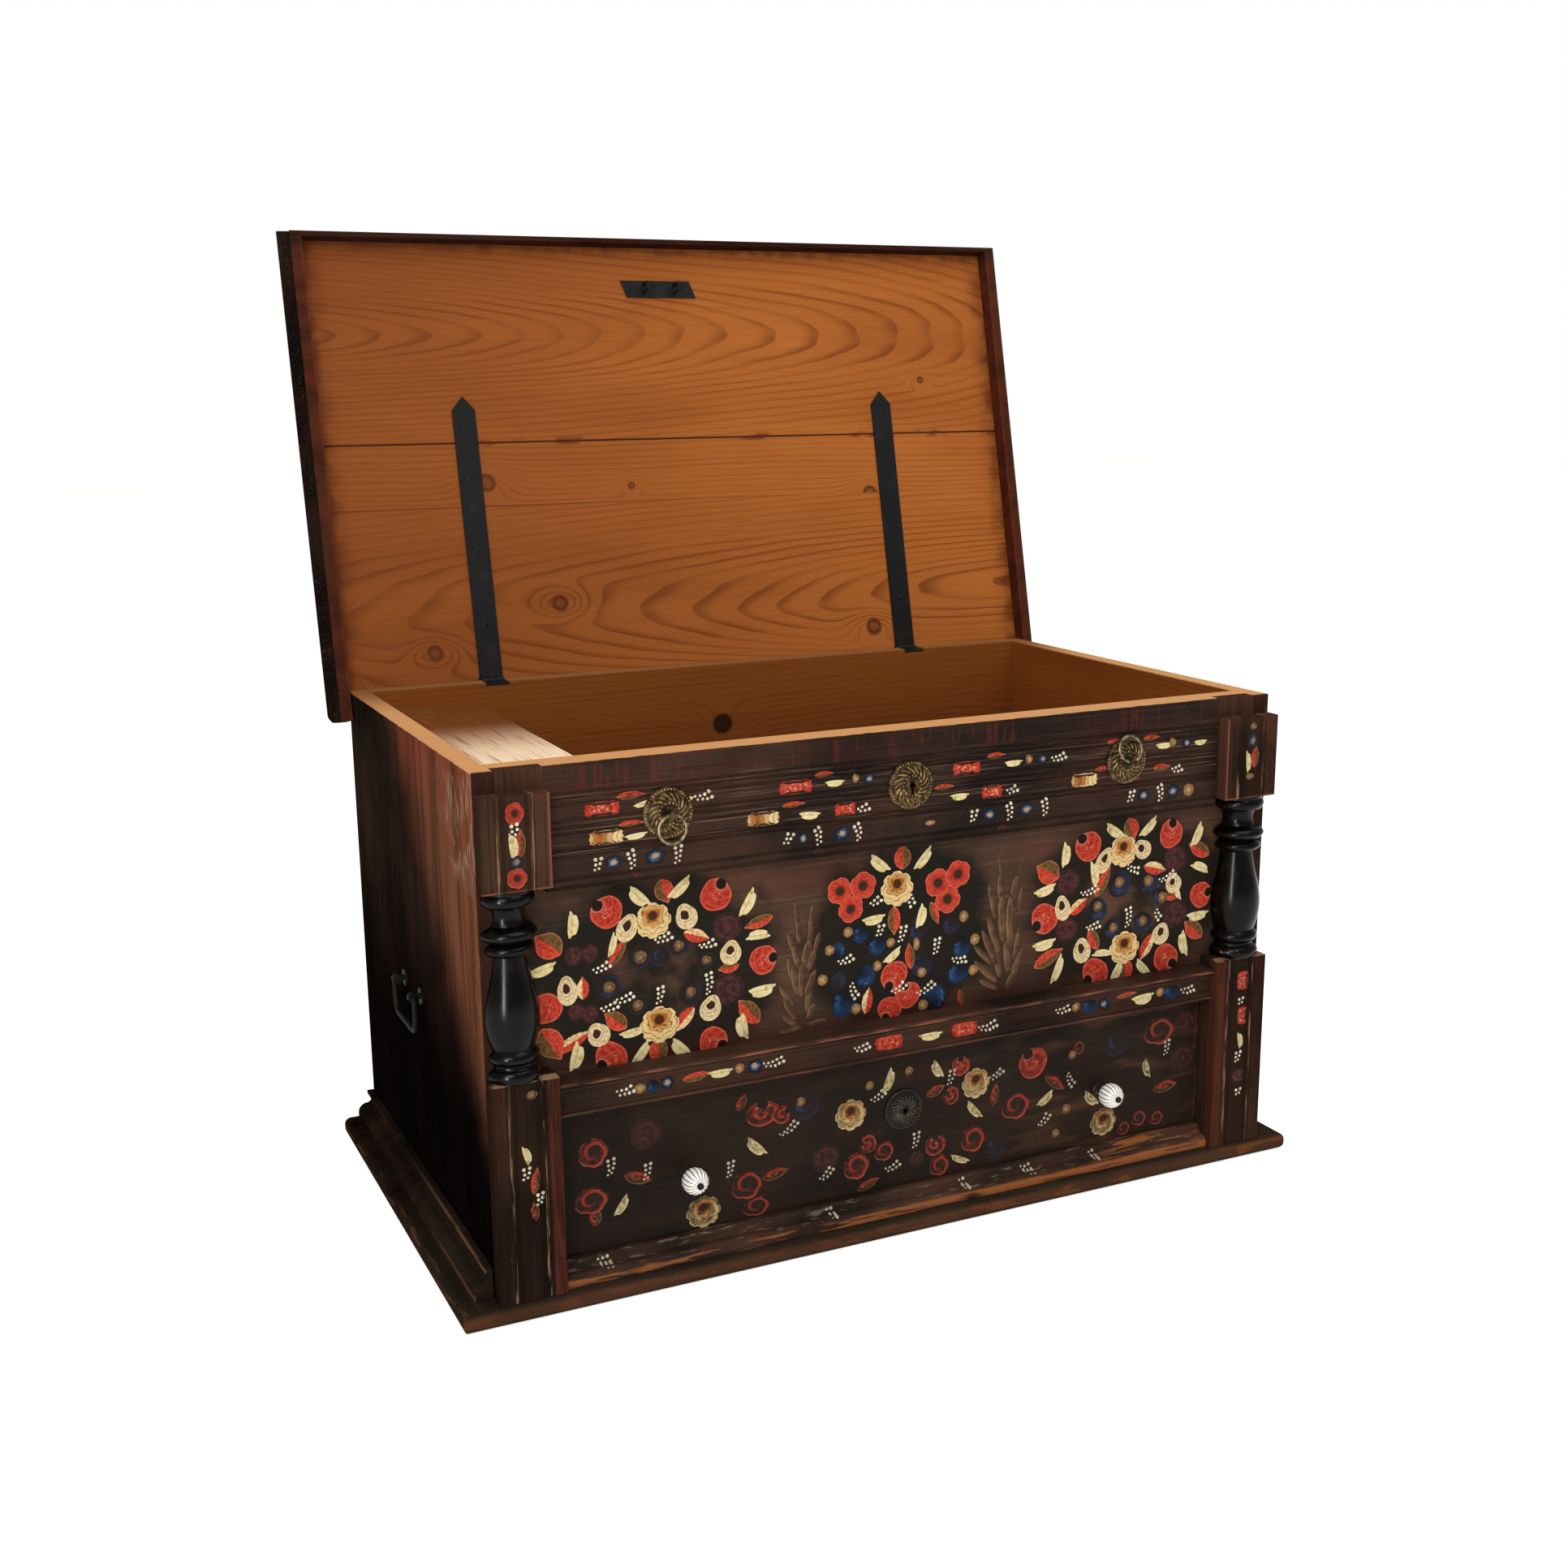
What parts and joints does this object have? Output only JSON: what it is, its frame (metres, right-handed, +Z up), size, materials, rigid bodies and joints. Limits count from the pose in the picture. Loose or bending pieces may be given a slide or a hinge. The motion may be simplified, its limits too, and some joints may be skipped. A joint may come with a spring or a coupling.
{
  "type": "mule chest",
  "caption": "Painted mule chest: a lidded blanket chest on a moulded plinth with a long drawer below, split-turned corner columns, strap hinges, ring pulls and porcelain knobs.",
  "frame": {"origin": "middle of the base board on the floor", "axes": "+X to the right as seen from the front, +Y to the back, +Z up"},
  "size_m": [1.19, 0.8301, 1.2841],
  "materials": {
    "painted_wood": "aged dark brown paint with comb lines, worn to bare wood along the edges",
    "pine": "bare honey coloured pine",
    "black_lacquer": "glossy black lacquer on turned wood",
    "iron": "black forged iron, slightly rusted",
    "antique_brass": "dark antique brass with bright high points",
    "dark_plate": "stamped plate painted over in the chest colour",
    "porcelain": "glossy white glaze with dark lines in the flutes"
  },
  "bodies": {
    "carcass": {"back_panel": "painted_wood", "base_board": "painted_wood", "chest_escutcheon": "antique_brass", "chest_floor": "pine", "chest_lock_case": "iron", "column_left": "black_lacquer", "column_right": "black_lacquer", "corner_stile_left": "painted_wood", "corner_stile_right": "painted_wood", "drawer_guide_left": "pine", "drawer_guide_right": "pine", "frieze_board": "painted_wood", "front_board": "painted_wood", "handle_eyes": "iron", "hinge_leaf_left": "iron", "hinge_leaf_nails": "iron", "hinge_leaf_right": "iron", "hinge_pins": "iron", "pedestal_left": "painted_wood", "pedestal_right": "painted_wood", "pull_plate_left": "antique_brass", "pull_plate_right": "antique_brass", "side_moulding_left": "painted_wood", "side_moulding_right": "painted_wood", "side_panel_left": "painted_wood", "side_panel_right": "painted_wood", "till_floor": "pine", "till_wall": "pine", "upper_block_left": "painted_wood", "upper_block_right": "painted_wood", "waist_moulding": "painted_wood"},
    "lid": {"lid_board_front": "pine", "lid_board_middle": "pine", "lid_board_rear": "pine", "lid_moulding_front": "painted_wood", "lid_moulding_left": "painted_wood", "lid_moulding_right": "painted_wood", "hinge_strap_left": "iron", "hinge_strap_right": "iron", "strap_nails": "iron", "keeper_plate": "iron", "keeper_screws": "iron"},
    "drawer": {"drawer_front": "painted_wood", "drawer_side_left": "pine", "drawer_side_right": "pine", "drawer_back": "pine", "drawer_bottom": "pine", "drawer_lip_moulding": "painted_wood", "knob_left": "porcelain", "knob_right": "porcelain", "knob_bolts": "iron", "drawer_escutcheon": "dark_plate", "drawer_lock_case": "iron"},
    "ring_left": {"ring_left": "antique_brass"},
    "ring_right": {"ring_right": "antique_brass"},
    "bail_left": {"bail_left": "iron"},
    "bail_right": {"bail_right": "iron"},
    "till_lid": {"till_lid": "pine"},
    "chest_lock_bolt": {"chest_lock_bolt": "iron"},
    "drawer_lock_bolt": {"drawer_lock_bolt": "iron"}
  },
  "joints": [
    {"name": "lid_hinge", "type": "hinge", "parent": "carcass", "child": "lid", "pos_m": [0, 0.3315, 0.6525], "axis": [1, 0, 0], "range_deg": [0, 102.5]},
    {"name": "drawer_slide", "type": "slide", "parent": "carcass", "child": "drawer", "axis": [0, -1, 0], "range_m": [0, 0.4]},
    {"name": "ring_left_swing", "type": "hinge", "parent": "carcass", "child": "ring_left", "pos_m": [-0.32, -0.316, 0.586], "axis": [-1, 0, 0], "range_deg": [-12, 194]},
    {"name": "ring_right_swing", "type": "hinge", "parent": "carcass", "child": "ring_right", "pos_m": [0.32, -0.316, 0.586], "axis": [-1, 0, 0], "range_deg": [-206, 0]},
    {"name": "bail_left_swing", "type": "hinge", "parent": "carcass", "child": "bail_left", "pos_m": [-0.562, 0.03, 0.31], "axis": [0, 1, 0], "range_deg": [-8, 180]},
    {"name": "bail_right_swing", "type": "hinge", "parent": "carcass", "child": "bail_right", "pos_m": [0.562, 0.03, 0.31], "axis": [0, -1, 0], "range_deg": [-8, 180]},
    {"name": "till_lid_pivot", "type": "hinge", "parent": "carcass", "child": "till_lid", "pos_m": [-0.515, 0, 0.62], "axis": [0, 1, 0], "range_deg": [-97, 0]},
    {"name": "chest_bolt_slide", "type": "slide", "parent": "carcass", "child": "chest_lock_bolt", "axis": [1, 0, 0], "range_m": [0, 0.014]},
    {"name": "drawer_bolt_slide", "type": "slide", "parent": "drawer", "child": "drawer_lock_bolt", "axis": [0, 0, 1], "range_m": [0, 0.01]}
  ]
}
